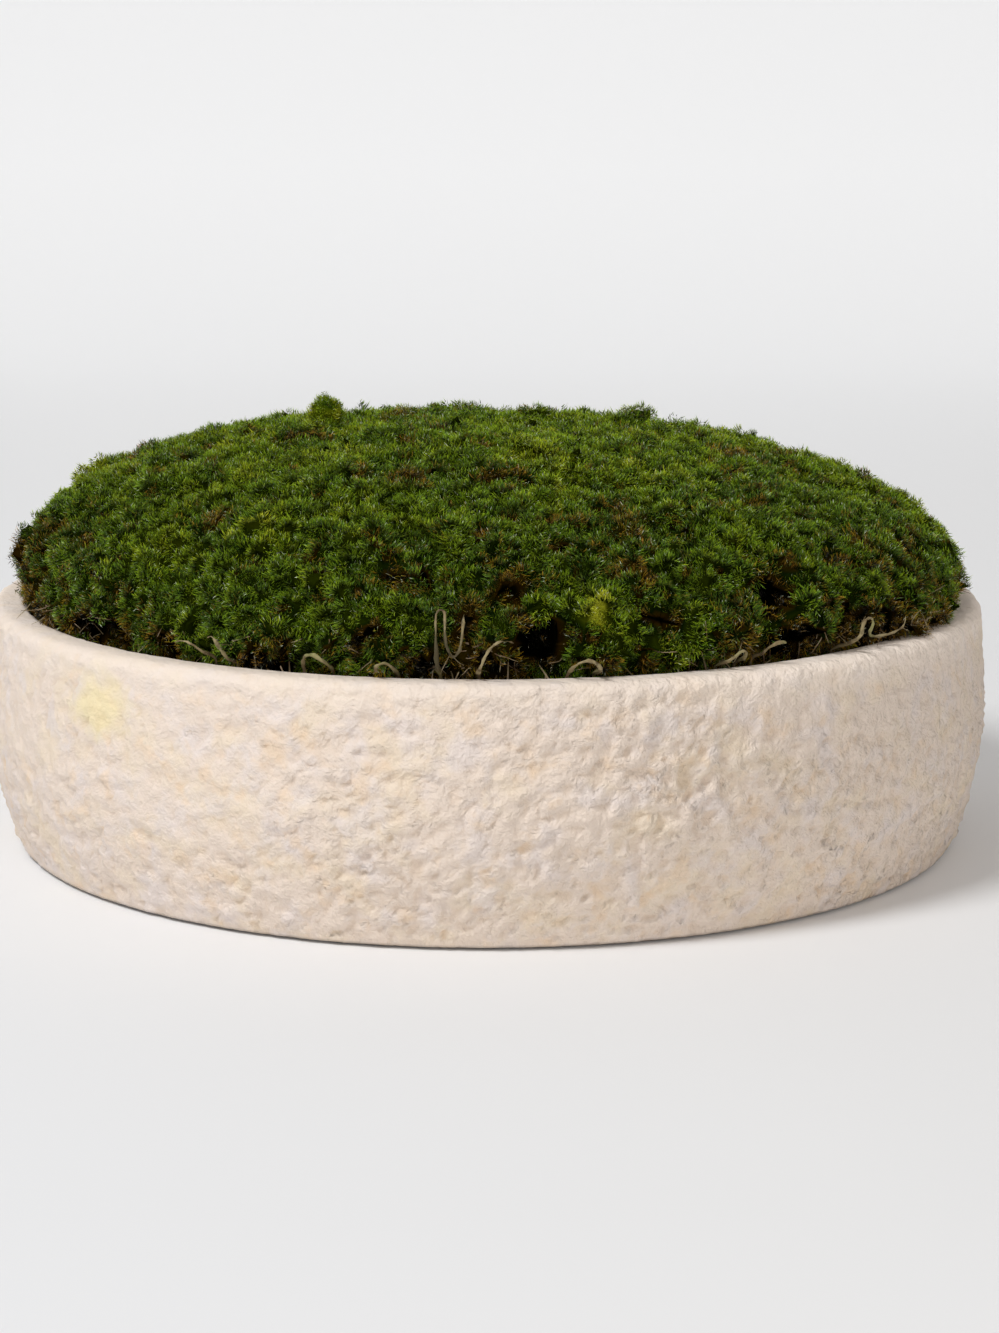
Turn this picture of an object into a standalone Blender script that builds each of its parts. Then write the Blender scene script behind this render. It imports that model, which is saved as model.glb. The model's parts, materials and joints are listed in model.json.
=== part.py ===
"""Moss bowl garden: a rough stone bowl filled with soil and covered with cushions of moss.

Metres, +Z up, standing on the origin. The side with the dry stems faces -Y.
"""

import math
import random

import bmesh
import bpy
from mathutils import Vector, noise
from mathutils.geometry import delaunay_2d_cdt

# Bowl: a turned shell with a rounded lip and a flat underside
BOWL_HEIGHT = 0.1109
BELLY_RADIUS = 0.230
BELLY_HEIGHT = 0.0597
BASE_RADIUS = 0.2168
TOP_RADIUS = 0.2272
LOWER_CURVE = 1.8
UPPER_CURVE = 2.2
MOUTH_RADIUS = 0.211
LIP_OUTER_ROUND = 0.006
LIP_INNER_ROUND = 0.004
FLOOR_THICKNESS = 0.014
INNER_CORNER = 0.020
BOWL_SIDES = 112
WALL_ROWS = 10
ROUGHNESS_DEPTH = 0.0034
ROUGHNESS_LENGTH = 0.0115
BOWL_CREAM = (0.76, 0.66, 0.55)

# Soil: fills the bowl and rises as a mound under the moss
SOIL_DROP = 0.009
SOIL_GAP = 0.0004
SOIL_SIDES = 56
MOUND_RADIUS = 0.1995
MOUND_HEIGHT = 0.0700
MOUND_ROWS = 12
MOSS_GAP = 0.0006
SOIL_BROWN = (0.030, 0.020, 0.013)

# Moss: one dome, split into cushions, measured from the top of the lip
MOSS_RADIUS = 0.2170
BULGE_HEIGHT = 0.0105
CROWN_HEIGHT = 0.0690
CROWN_FLATNESS = 0.88
KNEE = (0.2055, 0.0015)
FOOT = (0.2035, -0.0075)
MOUND_FOOT = -0.0085
SIDEWAYS_SLOPE = -0.098
SIDEWAYS_SHIFT = 0.0030
DOME_STEPS = 80
BULGE_STEPS = 12
LINE_STEPS = 240

# Moss surface: every third point of a triangular grid is the tip of a tuft
TUFT_SPACING = 0.0083
TUFT_HEIGHT = 0.0066
TUFT_SINK = 0.0022
TUFT_JITTER = 0.30
SWELLS = ((0.0046, 0.046), (0.0030, 0.020))
UNDERSIDE_SPACING = 0.019
OUTLINE_SPACING = 0.0100
CLEFT_WIDTH = 0.0016
CLEFT_ROUND = 0.011
CLEFT_DROP = 0.0040
LEAST_THICKNESS = 0.0030
FULL_LIFT_FROM = 0.015
THIN_EDGE = 0.006
GRID_MARGIN = 0.62
KNEE_MARGIN = 0.6
UNDERSIDE_MARGIN = 0.5
WANDERS = ((0.026, 0.33), (0.017, 0.11))
CROWN_BALL_RADIUS = 0.0096
CROWN_BALL_RISE = 0.45
CROWN_BALL_PLACE = (0.262, math.radians(-82))
MOSS_GREEN = (0.075, 0.115, 0.016)
SHADES = (0.85, 1.15)
SEED = 41

# Cushions: reach from the crown (0) to the foot (1), turn in degrees from the front, extra size
CUSHIONS = {
    "moss_front_left": (0.72, -25, 0.058),
    "moss_front_middle": (0.72, 0.5, 0.000),
    "moss_front_right": (0.72, 20.5, 0.028),
    "moss_right_front": (0.71, 49, 0.030),
    "moss_right": (0.70, 86, 0.030),
    "moss_right_back": (0.72, 124, 0.030),
    "moss_back_right": (0.68, 163, 0.020),
    "moss_back_left": (0.70, -157, 0.030),
    "moss_left_back": (0.73, -118, 0.040),
    "moss_left": (0.72, -66, 0.058),
    "moss_left_lump": (0.93, -86, 0.010),
    "moss_crown_left": (0.27, -70, 0.010),
    "moss_crown_right": (0.30, 52, 0.000),
    "moss_crown_back": (0.24, 172, 0.000),
}

# Dark hollows between the tufts, and a few bumps of negative depth: reach, turn, radius and depth
HOLLOWS = (
    (0.86, -88.0, 0.014, 0.007),
    (0.92, -83.0, 0.015, -0.0040),
    (0.97, -86.0, 0.014, 0.006),
    (0.84, -104.0, 0.035, -0.0022),
    (0.14, 175.0, 0.055, 0.0047),
    (0.340, 130.0, 0.0085, -0.0120),
    (0.378, 126.0, 0.0080, 0.0110),
    (0.31, 160.0, 0.008, -0.0045),
    (0.550, 113.0, 0.014, 0.0055),
    (0.66, 98.0, 0.012, 0.0025),
    (0.80, 98.0, 0.030, 0.0045),
    (0.94, 78.0, 0.022, -0.0042),
    (0.93, 5.5, 0.016, 0.012),
    (0.80, 5.5, 0.010, 0.009),
    (0.95, -8.0, 0.013, 0.011),
    (0.78, -5.0, 0.009, 0.007),
    (0.96, -19.5, 0.017, 0.010),
    (0.96, -32.0, 0.015, 0.008),
    (0.95, -48.0, 0.016, 0.010),
    (0.83, 34.0, 0.011, 0.010),
    (0.95, 31.5, 0.019, 0.010),
    (0.96, 45.5, 0.017, 0.010),
    (0.55, 21.0, 0.010, 0.006),
    (0.62, -34.0, 0.009, 0.006),
    (0.94, 105.0, 0.016, 0.009),
    (0.95, 150.0, 0.015, 0.009),
    (0.94, -140.0, 0.017, 0.009),
)
BARE_DEPTH = 0.005

# Dry stems: each has its place across the front, its width and its height over the lip
STEM_CIRCLE = 0.2082
STEM_RADIUS = 0.0008
STEM_SIDES = 5
STEM_ROOTING = 0.0060
STEM_HOLE_GAP = 0.0004
STEM_CLEARANCE = 0.0026
STEM_TAN = (0.33, 0.24, 0.12)
TIP_RINGS = 3
ARCH_ROUNDNESS = 0.8
HOOK_CURL = math.radians(112)
HOOK_REACH_POWER = 1.6
LOOP_BEND = (-0.05, 0.32)
LOOP_SAG = 0.62
LOOP_WIDTH = 0.45
ARCHES = {
    "root_arch_left": (-0.0670, 0.0120, 0.0080),
    "root_arch_middle": (-0.0385, 0.0070, 0.0070),
    "root_arch_right": (0.0375, 0.0110, 0.0085),
    "root_arch_far_right": (0.0965, 0.0085, 0.0080),
}
HOOKS = {
    "root_hook_far_left": (-0.1100, -0.0100, 0.0090),
    "root_hook_left": (-0.1010, -0.0060, 0.0125),
    "root_hook_middle": (-0.0030, 0.0135, 0.0165),
    "root_hook_right": (0.1080, 0.0070, 0.0095),
}
LOOPS = {
    "root_loop_middle": (-0.0180, 0.0080, 0.0270),
    "root_loop_right": (0.1440, 0.0150, 0.0120),
}

LIP = BOWL_HEIGHT


def clear_scene():
    for old in list(bpy.data.objects):
        bpy.data.objects.remove(old, do_unlink=True)


def make_object(name, points, faces, colour, roughness, smooth):
    """One closed mesh object, faces outward, with its own material."""
    mesh = bpy.data.meshes.new(name)
    mesh.from_pydata([tuple(p) for p in points], [], faces)
    work = bmesh.new()
    work.from_mesh(mesh)
    bmesh.ops.recalc_face_normals(work, faces=work.faces)
    for face in work.faces:
        face.smooth = smooth
    work.to_mesh(mesh)
    work.free()
    material = bpy.data.materials.new(name)
    material.use_nodes = True
    shader = material.node_tree.nodes["Principled BSDF"]
    shader.inputs["Base Color"].default_value = (*colour, 1)
    shader.inputs["Roughness"].default_value = roughness
    mesh.materials.append(material)
    obj = bpy.data.objects.new(name, mesh)
    bpy.context.scene.collection.objects.link(obj)
    return obj


def turned(profile, sides, shift):
    """Points and faces of a body turned about Z. The profile's two ends lie on the axis."""
    points = [Vector((0, 0, profile[0][1]))]
    for radius, height in profile[1:-1]:
        for k in range(sides):
            angle = 2 * math.pi * k / sides
            point = Vector((radius * math.cos(angle), radius * math.sin(angle), height))
            points.append(shift(point, radius))
    points.append(Vector((0, 0, profile[-1][1])))
    points[-1] = shift(points[-1], 0)
    faces = []
    rows = len(profile) - 2
    for k in range(sides):
        after = (k + 1) % sides
        faces.append((0, 1 + after, 1 + k))
        last = 1 + (rows - 1) * sides
        faces.append((last + k, last + after, len(points) - 1))
        for row in range(rows - 1):
            low = 1 + row * sides
            high = low + sides
            faces.append((low + k, low + after, high + after, high + k))
    return points, faces


def bowl_radius(height):
    if height < BELLY_HEIGHT:
        share = (BELLY_HEIGHT - height) / BELLY_HEIGHT
        return BELLY_RADIUS - (BELLY_RADIUS - BASE_RADIUS) * share**LOWER_CURVE
    share = (height - BELLY_HEIGHT) / (BOWL_HEIGHT - BELLY_HEIGHT)
    return BELLY_RADIUS - (BELLY_RADIUS - TOP_RADIUS) * share**UPPER_CURVE


def rough_wall(point, radius):
    """The hand-made surface: shallow dents and ridges on the outside, none on the flat parts."""
    inside = point.z > FLOOR_THICKNESS - SOIL_GAP and radius <= MOUTH_RADIUS
    if inside or point.z <= 0:
        return point
    strength = ROUGHNESS_DEPTH if point.z < BOWL_HEIGHT - LIP_OUTER_ROUND / 2 else ROUGHNESS_DEPTH / 3
    push = strength * noise.noise(point / ROUGHNESS_LENGTH)
    outward = Vector((point.x, point.y, 0)).normalized()
    return point + outward * push


def make_bowl():
    wall_top = BOWL_HEIGHT - LIP_OUTER_ROUND
    profile = [(0, 0)]
    for row in range(WALL_ROWS):
        height = wall_top * row / (WALL_ROWS - 1)
        profile.append((bowl_radius(height), height))
    lip_centre = bowl_radius(wall_top) - LIP_OUTER_ROUND
    for share in (0.5, 1.0):
        angle = share * math.pi / 2
        radius = lip_centre + LIP_OUTER_ROUND * math.cos(angle)
        profile.append((radius, wall_top + LIP_OUTER_ROUND * math.sin(angle)))
    for share in (0.0, 0.5, 1.0):
        angle = share * math.pi / 2
        radius = MOUTH_RADIUS + LIP_INNER_ROUND * (1 - math.sin(angle))
        profile.append((radius, BOWL_HEIGHT - LIP_INNER_ROUND * (1 - math.cos(angle))))
    profile.append((MOUTH_RADIUS, FLOOR_THICKNESS + INNER_CORNER))
    profile.append((MOUTH_RADIUS - INNER_CORNER, FLOOR_THICKNESS))
    profile.append((0, FLOOR_THICKNESS))
    points, faces = turned(profile, BOWL_SIDES, rough_wall)
    make_object("bowl", points, faces, BOWL_CREAM, 0.9, True)


def even_steps(line):
    """The same line as LINE_STEPS pieces of equal length."""
    lengths = [0.0]
    for first, second in zip(line, line[1:], strict=False):
        lengths.append(lengths[-1] + math.dist(first, second))
    found = []
    piece = 0
    for step in range(LINE_STEPS + 1):
        target = lengths[-1] * step / LINE_STEPS
        while piece < len(line) - 2 and lengths[piece + 1] < target:
            piece += 1
        share = (target - lengths[piece]) / (lengths[piece + 1] - lengths[piece])
        found.append(Vector(line[piece]).lerp(Vector(line[piece + 1]), min(share, 1)))
    return found, lengths[-1]


def mound_line(radius, height, rows):
    """Radius and height of the soil mound, part of a ball, from the crown out."""
    ball = (radius**2 + height**2) / (2 * height)
    line = []
    for row in range(rows + 1):
        out = radius * row / rows
        line.append((out, MOUND_FOOT + height - ball + math.sqrt(ball**2 - out**2)))
    return line


def moss_line():
    """Radius and height of the moss, from the crown over the lip and in to the foot."""
    line = []
    for step in range(DOME_STEPS + 1):
        angle = math.pi / 2 * (1 - step / DOME_STEPS)
        height = BULGE_HEIGHT + CROWN_HEIGHT * math.sin(angle) ** CROWN_FLATNESS
        line.append((MOSS_RADIUS * math.cos(angle), height))
    for step in range(1, BULGE_STEPS + 1):
        angle = math.pi / 2 * step / BULGE_STEPS
        radius = KNEE[0] + (MOSS_RADIUS - KNEE[0]) * math.cos(angle)
        line.append((radius, BULGE_HEIGHT - (BULGE_HEIGHT - KNEE[1]) * math.sin(angle)))
    line.append(FOOT)
    return line


TOP_LINE, REACH = even_steps(moss_line())
SOIL_LINE, _ = even_steps(mound_line(MOUND_RADIUS, MOUND_HEIGHT, DOME_STEPS))
KNEE_REACH = 1 - math.dist(KNEE, FOOT) / REACH


def on_line(line, reach):
    place = min(max(reach, 0), 1) * LINE_STEPS
    step = min(int(place), LINE_STEPS - 1)
    return line[step].lerp(line[step + 1], place - step)


def settled(point):
    """The dome stands a little higher on the left, so heights over the lip change across it."""
    above = point.z - LIP
    if above > 0:
        point.z = LIP + above * (1 + SIDEWAYS_SLOPE * point.x / MOSS_RADIUS)
        point.x += SIDEWAYS_SHIFT * min(above / BULGE_HEIGHT, 1)
    return point


def in_space(line, reach, turn):
    radius, height = on_line(line, reach)
    return Vector((radius * math.sin(turn), -radius * math.cos(turn), LIP + height))


def plan(reach, turn):
    return Vector((reach * math.sin(turn), -reach * math.cos(turn)))


def swell(place):
    """Slow rises in the moss, in metres."""
    spot = Vector((place.x, place.y, 3.7)) * REACH
    return sum(height * noise.noise(spot / length) for height, length in SWELLS)


def hollow(place):
    """How deep the dark hollows are here, and how bare of tufts they leave it, from 0 to 1."""
    sunk = 0
    bare = 0
    for reach, degrees, radius, depth in HOLLOWS:
        away = (place - plan(reach, math.radians(degrees))).length * REACH / radius
        sunk += depth * math.exp(-away * away)
        bare = max(bare, math.exp(-3 * away * away) if depth > BARE_DEPTH else 0)
    return sunk, bare


def moss_point(place, tuft, drop):
    """A point on the moss's top, with a tuft's height added and a cleft's drop taken off."""
    under, over = moss_sides(place)
    thickness = (over - under).length
    sunk, bare = hollow(place)
    lift = swell(place) + tuft * (1 - bare) - sunk - drop
    raised = thickness + lift * min(1, thickness / FULL_LIFT_FROM)
    raised = max(raised, LEAST_THICKNESS * min(1, thickness / THIN_EDGE))
    return settled(under + (over - under).normalized() * raised)


def moss_sides(place):
    """The point on the mound and the point on the smooth dome that belong together."""
    fade = 1 - place.length_squared
    for size, length in WANDERS:
        pull = Vector((
            noise.noise(Vector((place.x, place.y, 0)) / length),
            noise.noise(Vector((place.x, place.y, 9)) / length),
        ))
        place = place + pull * size * max(fade, 0)
    reach = place.length
    turn = math.atan2(place.x, -place.y)
    return in_space(SOIL_LINE, reach, turn), in_space(TOP_LINE, reach, turn)


def clipped(outline, normal, limit):
    """The part of a convex outline on the near side of a line."""
    kept = []
    for first, second in zip(outline, outline[1:] + outline[:1], strict=True):
        near = limit - first.dot(normal)
        far = limit - second.dot(normal)
        if near >= 0:
            kept.append(first)
        if near * far < 0:
            kept.append(first.lerp(second, near / (near - far)))
    return kept


def walked(outline, spacing):
    """Points at even steps round an outline."""
    closed = outline + outline[:1]
    around = sum((b - a).length for a, b in zip(closed, closed[1:], strict=False))
    count = max(12, round(around / spacing))
    found = []
    travelled = 0.0
    for first, second in zip(closed, closed[1:], strict=False):
        length = (second - first).length
        while len(found) < count and len(found) * around / count <= travelled + length:
            share = (len(found) * around / count - travelled) / max(length, 1e-9)
            found.append(first.lerp(second, min(max(share, 0), 1)))
        travelled += length
    return found


def grid_points(spacing, margin, inside_by):
    """Points of a triangular grid that lie inside a cell, each with whether it is a tip."""
    rows = int(1.1 / (spacing * math.sqrt(0.75))) + 1
    for j in range(-rows, rows + 1):
        for i in range(-2 * rows, 2 * rows + 1):
            place = Vector(((i + j / 2) * spacing, j * spacing * math.sqrt(0.75)))
            if inside_by(place) > margin * spacing:
                yield place, (i - j) % 3 == 0


def triangles(outline, inner):
    """Triangles over an outline and its inner points."""
    everything = outline + inner
    loop = list(range(len(outline)))
    edges = list(zip(loop, loop[1:] + loop[:1], strict=True))
    made = delaunay_2d_cdt(everything, edges, [loop], 1, 1e-7)
    first = {k: origins[0] for k, origins in enumerate(made[3]) if origins}
    return [tuple(first[k] for k in face) for face in made[2]]


def make_cushion(name, chance):
    """One cushion: its share of the dome, tufted on top and smooth underneath."""
    reach, degrees, size = CUSHIONS[name]
    centre = plan(reach, math.radians(degrees))
    outline = [plan(1, math.radians(step * 3)) for step in range(120)]
    limits = []
    for other, (other_reach, other_degrees, other_size) in CUSHIONS.items():
        if other == name:
            continue
        away = plan(other_reach, math.radians(other_degrees))
        across = away - centre
        limit = away.length_squared - centre.length_squared + size - other_size
        limit = limit / (2 * across.length) - CLEFT_WIDTH / REACH / 2
        limits.append((across.normalized(), limit))
        outline = clipped(outline, across.normalized(), limit)

    def to_cleft(place):
        return min(limit - place.dot(normal) for normal, limit in limits)

    def to_edge(place):
        return min(to_cleft(place), KNEE_REACH - place.length)

    rim = walked(outline, OUTLINE_SPACING / REACH)
    inner = []
    tips = []
    spacing = TUFT_SPACING / REACH
    for place, tip in grid_points(spacing, GRID_MARGIN, to_edge):
        jitter = Vector((chance.uniform(-1, 1), chance.uniform(-1, 1))) * TUFT_JITTER * spacing
        inner.append(place + jitter)
        tips.append((TUFT_HEIGHT * chance.uniform(0.3, 1.15) if tip else 0) - TUFT_SINK)
    knee_count = round(2 * math.pi * KNEE_REACH / spacing)
    for k in range(knee_count):
        place = plan(KNEE_REACH, 2 * math.pi * k / knee_count)
        if to_cleft(place) > KNEE_MARGIN * spacing:
            inner.append(place)
            tips.append(0)
    points = []
    for place, tip in zip(rim + inner, [0] * len(rim) + tips, strict=True):
        near = min(max(to_cleft(place) * REACH / CLEFT_ROUND, 0), 1)
        drop = CLEFT_DROP * (1 - math.sqrt(1 - (1 - near) ** 2))
        points.append(moss_point(place, tip, drop))
    faces = triangles(rim, inner)
    below = [place for place, _ in grid_points(UNDERSIDE_SPACING / REACH, UNDERSIDE_MARGIN, to_edge)]
    start = len(points)
    points += [settled(moss_sides(place)[0]) for place in rim + below]
    for face in triangles(rim, below):
        faces.append(tuple(start + k for k in reversed(face)))
    for k in range(len(rim)):
        after = (k + 1) % len(rim)
        faces.append((k, after, start + after, start + k))
    shade = chance.uniform(*SHADES)
    colour = [part * shade for part in MOSS_GREEN]
    return make_object(name, points, faces, colour, 0.95, False)


def add_crown_ball(cushion, chance):
    """The small round tuft that stands on the crown's left, fused to its cushion."""
    work = bmesh.new()
    bmesh.ops.create_icosphere(work, subdivisions=2, radius=CROWN_BALL_RADIUS)
    middle = moss_point(plan(*CROWN_BALL_PLACE), CROWN_BALL_RADIUS * CROWN_BALL_RISE, 0)
    for point in work.verts:
        point.co = middle + point.co * chance.uniform(0.85, 1.2)
    mesh = bpy.data.meshes.new("crown_ball")
    work.to_mesh(mesh)
    work.free()
    ball = bpy.data.objects.new("crown_ball", mesh)
    bpy.context.scene.collection.objects.link(ball)
    combine(cushion, ball, "UNION")


def combine(obj, other, operation):
    """Applies one Boolean and removes the object it used."""
    change = obj.modifiers.new(operation, "BOOLEAN")
    change.operation = operation
    change.object = other
    change.solver = "EXACT"
    bpy.context.view_layer.objects.active = obj
    bpy.ops.object.modifier_apply(modifier=change.name)
    bpy.data.objects.remove(other, do_unlink=True)


def face_radius(turn, above):
    """Radius of the moss's face at a height over the lip, at one place round it."""
    for step in range(LINE_STEPS, LINE_STEPS // 2, -1):
        point = moss_point(plan(step / LINE_STEPS, turn), TUFT_HEIGHT - TUFT_SINK, 0)
        if point.z - LIP >= above:
            return math.hypot(point.x, point.y)
    return MOUND_RADIUS


def stem_point(across, above):
    """A point of a dry stem: it stands behind the lip and, higher up, clear of the moss's face."""
    turn = math.asin(across / STEM_CIRCLE)
    radius = STEM_CIRCLE
    if above > 0:
        radius = max(radius, face_radius(turn, above) + STEM_CLEARANCE)
    return Vector((radius * math.sin(turn), -radius * math.cos(turn), LIP + above))


def arch_shape(middle, width, height):
    """Two feet and a rounded top."""
    ground = -SOIL_DROP
    shape = [(middle - width / 2, ground - STEM_ROOTING), (middle - width / 2, ground)]
    for step in range(9):
        angle = math.pi * (1 - step / 8)
        shape.append((middle + width / 2 * math.cos(angle), height * math.sin(angle) ** ARCH_ROUNDNESS))
    return shape + [(middle + width / 2, ground), (middle + width / 2, ground - STEM_ROOTING)]


def hook_shape(middle, width, height):
    """One foot, a slanting stalk and a tip that curls over."""
    ground = -SOIL_DROP
    shape = [(middle, ground - STEM_ROOTING), (middle, ground), (middle, 0)]
    for step in range(1, 9):
        share = step / 8
        rise = height * math.sin(share * HOOK_CURL)
        shape.append((middle + width * share**HOOK_REACH_POWER, rise))
    return shape


def loop_shape(middle, width, height):
    """One foot, a stalk that bends over, and a hanging loop that turns up again at its end."""
    ground = -SOIL_DROP
    shape = [(middle, ground - STEM_ROOTING), (middle, ground), (middle, 0)]
    near, far = (width * share for share in LOOP_BEND)
    for step in range(1, 5):
        shape.append((middle + near * step / 4, height * step / 4))
    for step in range(1, 4):
        angle = math.pi * step / 4
        across = near + (far - near) * (1 - math.cos(angle)) / 2
        shape.append((middle + across, height + (far - near) * math.sin(angle) / 2))
    for step in range(9):
        angle = math.pi * step / 8
        across = middle + far + width * LOOP_WIDTH * (1 - math.cos(angle))
        shape.append((across, height * (1 - LOOP_SAG * math.sin(angle))))
    return shape


def make_stem(name, shape):
    """A bent stem of even thickness with a thinner tip, and the tool that cuts its hole."""
    line = [stem_point(across, above) for across, above in shape]
    free_end = shape[-1][1] > -SOIL_DROP
    sideways = Vector((0, 0, 1)).cross(line[0]).normalized()
    points = [line[0]]
    for number, middle in enumerate(line):
        before = line[max(number - 1, 0)]
        after = line[min(number + 1, len(line) - 1)]
        along = (after - before).normalized()
        sideways = (sideways - along * sideways.dot(along)).normalized()
        other = along.cross(sideways)
        radius = STEM_RADIUS
        if free_end and number >= len(line) - TIP_RINGS:
            radius *= (len(line) - number + 1) / (TIP_RINGS + 2)
        for side in range(STEM_SIDES):
            angle = 2 * math.pi * side / STEM_SIDES
            points.append(middle + (sideways * math.cos(angle) + other * math.sin(angle)) * radius)
    points.append(line[-1])
    faces = []
    last = 1 + (len(line) - 1) * STEM_SIDES
    for side in range(STEM_SIDES):
        after = (side + 1) % STEM_SIDES
        faces.append((0, 1 + after, 1 + side))
        faces.append((last + side, last + after, len(points) - 1))
        for ring in range(len(line) - 1):
            low = 1 + ring * STEM_SIDES
            high = low + STEM_SIDES
            faces.append((low + side, low + after, high + after, high + side))
    make_object(name, points, faces, STEM_TAN, 0.8, True)
    return [line[0]] if free_end else [line[0], line[-1]]


def make_soil(feet):
    """The filling, with a plain hole for each stem's foot."""
    outer = MOUTH_RADIUS - SOIL_GAP
    floor = FLOOR_THICKNESS + SOIL_GAP
    profile = [(0, floor), (outer - INNER_CORNER, floor), (outer, floor + INNER_CORNER)]
    profile.append((outer, BOWL_HEIGHT - SOIL_DROP))
    for radius, height in reversed(mound_line(MOUND_RADIUS, MOUND_HEIGHT, MOUND_ROWS)):
        profile.append((radius, LIP + height - MOSS_GAP))
    points, faces = turned(profile, SOIL_SIDES, lambda point, radius: settled(point))
    soil = make_object("soil", points, faces, SOIL_BROWN, 1.0, True)
    work = bmesh.new()
    for foot in feet:
        hole = STEM_RADIUS + STEM_HOLE_GAP
        made = bmesh.ops.create_cone(
            work, cap_ends=True, segments=6, radius1=hole, radius2=hole, depth=4 * STEM_ROOTING
        )
        lowest = Vector((0, 0, 2 * STEM_ROOTING - STEM_HOLE_GAP))
        bmesh.ops.translate(work, verts=made["verts"], vec=foot + lowest)
    mesh = bpy.data.meshes.new("holes")
    work.to_mesh(mesh)
    work.free()
    holes = bpy.data.objects.new("holes", mesh)
    bpy.context.scene.collection.objects.link(holes)
    combine(soil, holes, "DIFFERENCE")


def main():
    clear_scene()
    make_bowl()
    chance = random.Random(SEED)
    for name in CUSHIONS:
        cushion = make_cushion(name, chance)
        if name == "moss_crown_left":
            add_crown_ball(cushion, chance)
    feet = []
    for shaper, stems in ((arch_shape, ARCHES), (hook_shape, HOOKS), (loop_shape, LOOPS)):
        for name, sizes in stems.items():
            feet += make_stem(name, shaper(*sizes))
    make_soil(feet)


main()
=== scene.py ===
"""Looks for the moss bowl garden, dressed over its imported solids."""

import json
import math
import random

import bmesh
import bpy
import numpy as np
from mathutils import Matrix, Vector, noise

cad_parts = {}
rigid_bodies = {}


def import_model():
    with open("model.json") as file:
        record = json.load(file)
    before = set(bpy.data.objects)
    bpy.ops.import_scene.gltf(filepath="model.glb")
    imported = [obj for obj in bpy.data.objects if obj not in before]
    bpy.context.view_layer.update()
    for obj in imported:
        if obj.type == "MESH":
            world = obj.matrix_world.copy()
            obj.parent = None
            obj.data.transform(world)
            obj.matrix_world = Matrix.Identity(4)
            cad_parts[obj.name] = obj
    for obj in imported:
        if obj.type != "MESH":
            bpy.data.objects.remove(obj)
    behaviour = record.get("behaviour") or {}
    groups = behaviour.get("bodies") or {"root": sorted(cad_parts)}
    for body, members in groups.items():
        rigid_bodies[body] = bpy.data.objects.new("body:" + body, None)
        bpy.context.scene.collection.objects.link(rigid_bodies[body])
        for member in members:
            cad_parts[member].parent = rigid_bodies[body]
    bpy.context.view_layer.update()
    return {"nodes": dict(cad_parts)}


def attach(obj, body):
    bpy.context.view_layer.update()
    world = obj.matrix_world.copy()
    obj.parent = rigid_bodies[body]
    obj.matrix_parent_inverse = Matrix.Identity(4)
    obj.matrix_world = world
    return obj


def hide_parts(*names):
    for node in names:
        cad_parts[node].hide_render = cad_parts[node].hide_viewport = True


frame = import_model()
nodes = frame["nodes"]

# ------------------------------------------------------------------ Bowl
# A low bowl cast from a pale mix of stone and fibre, 460 mm wide and 111 mm high. Its outside is worked
# by hand into fine random wrinkles, its lip is rubbed round and its underside is flat. It is cream, with
# faint yellow, orange and lavender clouds, and has one yellow stain under the lip at the front left.

# Heights from the table and radii, in metres
LIP = 0.1109
bowl_belly_height, bowl_belly = 0.0597, 0.230
bowl_base, bowl_top, bowl_mouth = 0.2168, 0.2272, 0.211
lip_outer, lip_inner = 0.006, 0.004
bowl_floor, inner_corner = 0.014, 0.020
foot_inset, foot_height = 0.0032, 0.0016
# How finely the mesh is divided, and the strips of its bake map
bowl_sides, wall_rows, lip_rows, inner_rows, bowl_strips = 640, 48, 6, 4, 4
# Colours of the stone: its own, its clouds and its stain, then the painted shade in its pits, the painted
# light on its lip and the painted contact shadow along its foot
cream, straw = (0.80, 0.690, 0.600), (0.82, 0.700, 0.540)
lavender, orange = (0.785, 0.720, 0.712), (0.83, 0.640, 0.450)
stain_yellow, pit_shade, foot_painted_shadow = (0.86, 0.745, 0.440), (0.93, 0.885, 0.82), (0.16, 0.13, 0.11)
lip_painted_light_left, lip_painted_light_right = (0.835, 0.742, 0.660), (0.965, 0.858, 0.765)


def new_material(name, colour, roughness, shine=0.5):
    """A material, its node tree and its Principled shader."""
    made = bpy.data.materials.new(name)
    made.use_nodes = True
    tree = made.node_tree
    shader = tree.nodes["Principled BSDF"]
    shader.inputs["Base Color"].default_value = (*colour, 1)
    shader.inputs["Roughness"].default_value = roughness
    shader.inputs["Specular IOR Level"].default_value = shine
    return made, tree, shader


def add_node(tree, kind, inputs=None, **settings):
    """A node with its settings and input values; a linked input is given as another node's output."""
    node = tree.nodes.new(kind)
    for key, value in settings.items():
        setattr(node, key, value)
    for key, value in (inputs or {}).items():
        if isinstance(value, bpy.types.NodeSocket):
            tree.links.new(value, node.inputs[key])
        else:
            node.inputs[key].default_value = value
    return node


def worked_out(tree, operation, *values, kind="ShaderNodeMath"):
    """The result of one sum on numbers, or on vectors with the other kind of node."""
    return add_node(tree, kind, dict(enumerate(values)), operation=operation).outputs[0]


def spanned(tree, value, low=0.0, high=1.0, first=0.0, last=1.0):
    """From first to last, as the value goes from low to high."""
    ends = {"Value": value, "From Min": low, "From Max": high, "To Min": first, "To Max": last}
    return add_node(tree, "ShaderNodeMapRange", ends).outputs[0]


def noise_share(tree, place, scale, low, high, most, detail=3.0, shift=0.0):
    """From 0 to most, as a noise on Object coordinates goes from low to high."""
    moved = worked_out(tree, "ADD", place, (shift, shift / 2, -shift), kind="ShaderNodeVectorMath")
    cloud = add_node(tree, "ShaderNodeTexNoise", {"Vector": moved, "Scale": scale, "Detail": detail})
    return spanned(tree, cloud.outputs["Fac"], low, high, 0.0, most)


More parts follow.
